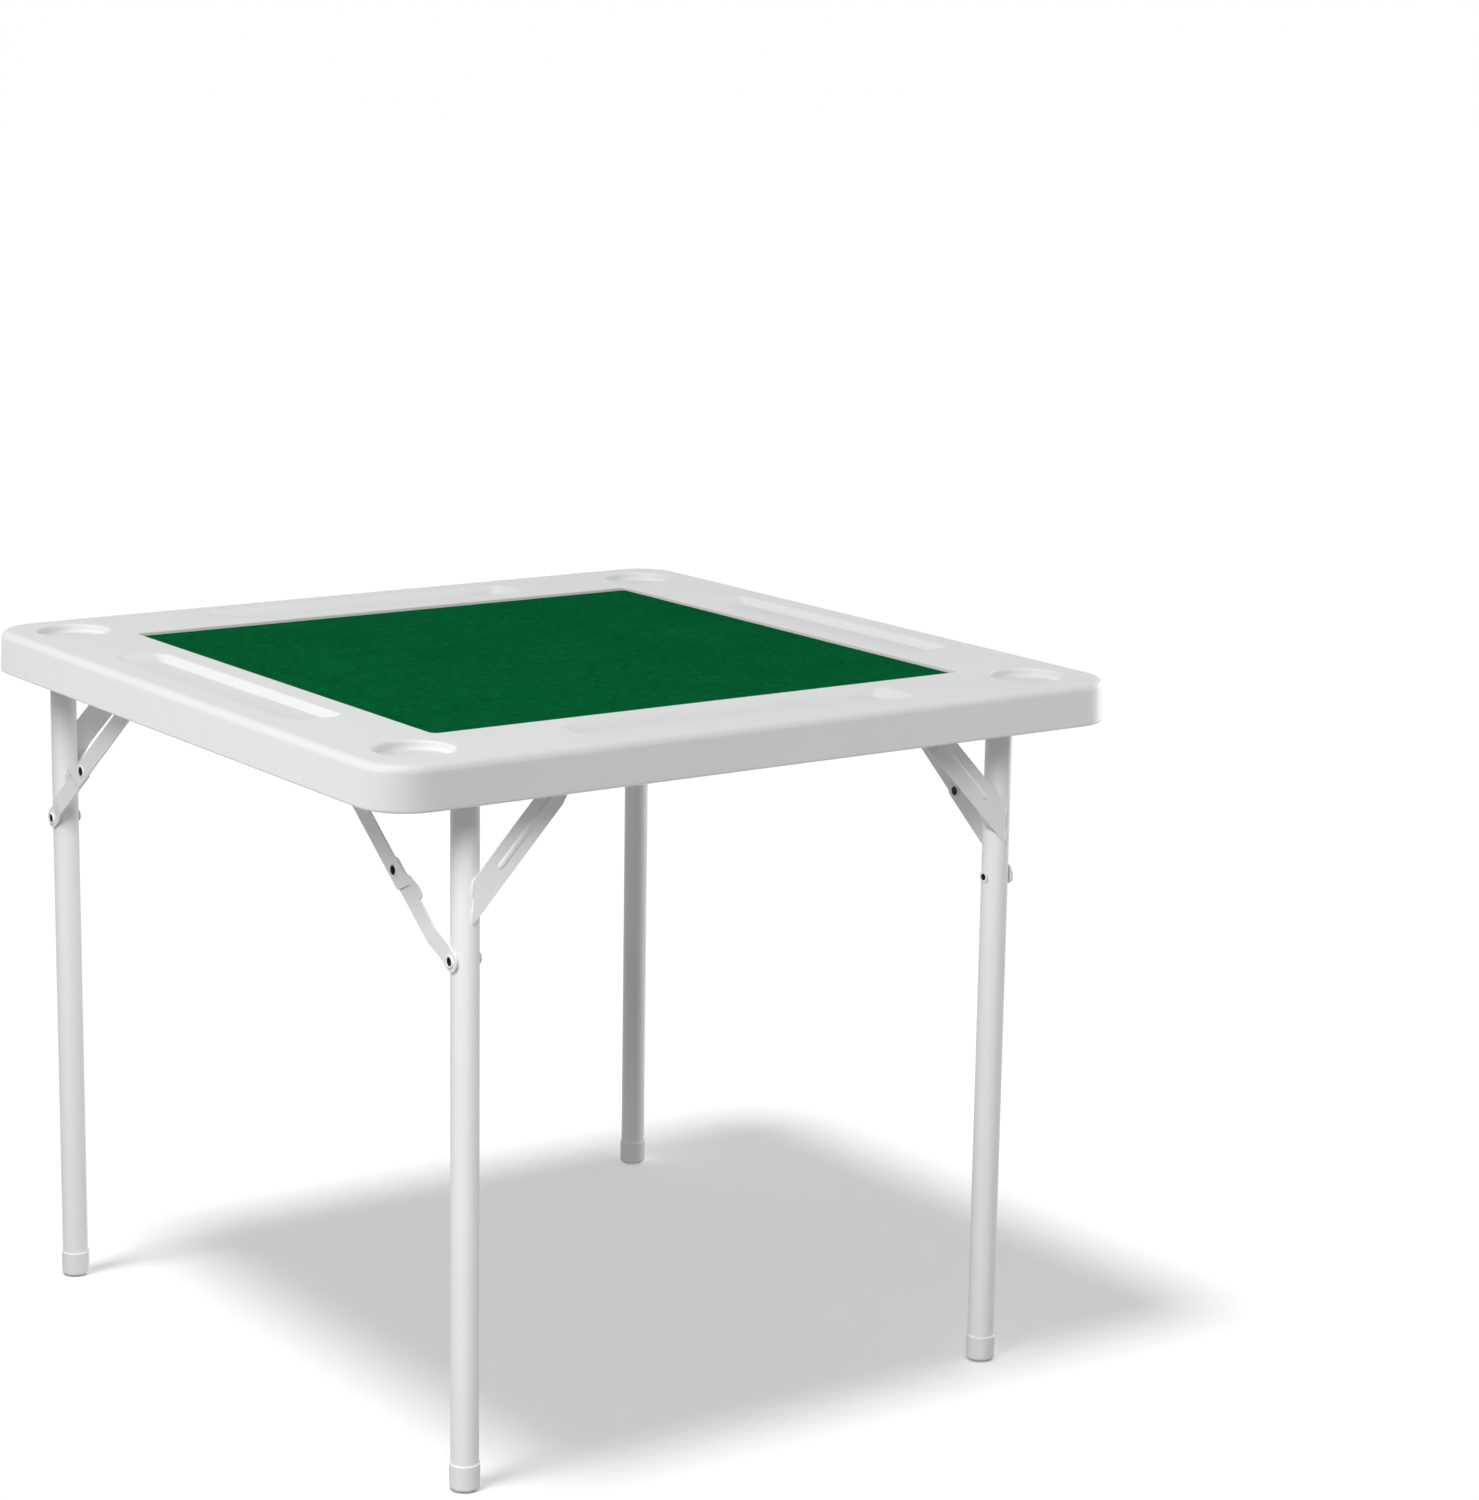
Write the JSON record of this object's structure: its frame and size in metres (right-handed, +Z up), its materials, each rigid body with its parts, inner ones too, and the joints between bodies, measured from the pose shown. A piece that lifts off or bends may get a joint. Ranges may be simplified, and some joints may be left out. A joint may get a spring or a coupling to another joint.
{
  "type": "folding card table",
  "caption": "Square folding card table: moulded top with felt recess, cup holders and chip trays, on two folding tubular leg frames with locking stays.",
  "frame": {"origin": "on the floor under the middle of the table", "axes": "+Z up, +X to the right and +Y to the rear, with the narrow leg pair at the front"},
  "size_m": [0.8798, 0.8798, 0.738],
  "materials": {
    "top_plastic": "fine pebbled blow-moulded plastic",
    "playing_felt": "short-napped green playing cloth",
    "white_steel": "white powder coat, satin",
    "cap_plastic": "smooth moulded plastic",
    "rivet_steel": "coated tubular rivets",
    "screw_steel": "zinc plated",
    "clip_plastic": "black moulded plastic"
  },
  "bodies": {
    "top": {"tabletop": "top_plastic", "felt": "playing_felt", "rail_left": "white_steel", "rail_right": "white_steel", "stay_bracket_left": "white_steel", "stay_bracket_right": "white_steel", "leg_clip": "clip_plastic", "rail_screws": "screw_steel", "stay_top_rivets": "rivet_steel"},
    "front_leg_frame": {"front_cross_tube": "white_steel", "front_leg_left": "white_steel", "front_leg_right": "white_steel", "front_gusset_left": "white_steel", "front_gusset_right": "white_steel", "front_foot_cap_left": "cap_plastic", "front_foot_cap_right": "cap_plastic", "front_leg_rivets": "rivet_steel"},
    "rear_leg_frame": {"rear_cross_tube": "white_steel", "rear_leg_left": "white_steel", "rear_leg_right": "white_steel", "rear_gusset_left": "white_steel", "rear_gusset_right": "white_steel", "rear_foot_cap_left": "cap_plastic", "rear_foot_cap_right": "cap_plastic", "rear_leg_rivets": "rivet_steel"},
    "front_upper_stay_left": {"front_upper_link_left": "white_steel", "front_knee_rivet_left": "rivet_steel"},
    "front_lower_stay_left": {"front_lower_link_left": "white_steel", "front_stay_foot_rivet_left": "rivet_steel"},
    "front_upper_stay_right": {"front_upper_link_right": "white_steel", "front_knee_rivet_right": "rivet_steel"},
    "front_lower_stay_right": {"front_lower_link_right": "white_steel", "front_stay_foot_rivet_right": "rivet_steel"},
    "rear_upper_stay_left": {"rear_upper_link_left": "white_steel", "rear_knee_rivet_left": "rivet_steel"},
    "rear_lower_stay_left": {"rear_lower_link_left": "white_steel", "rear_stay_foot_rivet_left": "rivet_steel"},
    "rear_upper_stay_right": {"rear_upper_link_right": "white_steel", "rear_knee_rivet_right": "rivet_steel"},
    "rear_lower_stay_right": {"rear_lower_link_right": "white_steel", "rear_stay_foot_rivet_right": "rivet_steel"}
  },
  "joints": [
    {"name": "front_leg_fold", "type": "hinge", "parent": "top", "child": "front_leg_frame", "pos_m": [0, -0.382, 0.709], "axis": [1, 0, 0], "range_deg": [0, 90]},
    {"name": "rear_leg_fold", "type": "hinge", "parent": "top", "child": "rear_leg_frame", "pos_m": [0, 0.378, 0.706], "axis": [-1, 0, 0], "range_deg": [0, 90]},
    {"name": "front_stay_top_left", "type": "hinge", "parent": "top", "child": "front_upper_stay_left", "pos_m": [-0.3447, -0.16, 0.7], "axis": [-1, 0, 0], "range_deg": [0, 38.15]},
    {"name": "front_stay_knee_left", "type": "hinge", "parent": "front_upper_stay_left", "child": "front_lower_stay_left", "pos_m": [-0.3447, -0.28889, 0.60246], "axis": [1, 0, 0], "range_deg": [0, 184.1]},
    {"name": "front_stay_top_right", "type": "hinge", "parent": "top", "child": "front_upper_stay_right", "pos_m": [0.3447, -0.16, 0.7], "axis": [-1, 0, 0], "range_deg": [0, 38.15]},
    {"name": "front_stay_knee_right", "type": "hinge", "parent": "front_upper_stay_right", "child": "front_lower_stay_right", "pos_m": [0.3447, -0.28889, 0.60246], "axis": [1, 0, 0], "range_deg": [0, 184.1]},
    {"name": "rear_stay_top_left", "type": "hinge", "parent": "top", "child": "rear_upper_stay_left", "pos_m": [-0.4007, 0.156, 0.697], "axis": [1, 0, 0], "range_deg": [0, 38.15]},
    {"name": "rear_stay_knee_left", "type": "hinge", "parent": "rear_upper_stay_left", "child": "rear_lower_stay_left", "pos_m": [-0.4007, 0.28489, 0.59946], "axis": [-1, 0, 0], "range_deg": [0, 184.1]},
    {"name": "rear_stay_top_right", "type": "hinge", "parent": "top", "child": "rear_upper_stay_right", "pos_m": [0.4007, 0.156, 0.697], "axis": [1, 0, 0], "range_deg": [0, 38.15]},
    {"name": "rear_stay_knee_right", "type": "hinge", "parent": "rear_upper_stay_right", "child": "rear_lower_stay_right", "pos_m": [0.4007, 0.28489, 0.59946], "axis": [-1, 0, 0], "range_deg": [0, 184.1]}
  ],
  "couplings": [
    {"joint": "front_stay_top_left", "follows": "front_leg_fold", "ratio": 0.42352},
    {"joint": "front_stay_knee_left", "follows": "front_leg_fold", "ratio": 2.0448},
    {"joint": "front_stay_top_right", "follows": "front_leg_fold", "ratio": 0.42352},
    {"joint": "front_stay_knee_right", "follows": "front_leg_fold", "ratio": 2.0448},
    {"joint": "rear_stay_top_left", "follows": "rear_leg_fold", "ratio": 0.42352},
    {"joint": "rear_stay_knee_left", "follows": "rear_leg_fold", "ratio": 2.0448},
    {"joint": "rear_stay_top_right", "follows": "rear_leg_fold", "ratio": 0.42352},
    {"joint": "rear_stay_knee_right", "follows": "rear_leg_fold", "ratio": 2.0448}
  ]
}
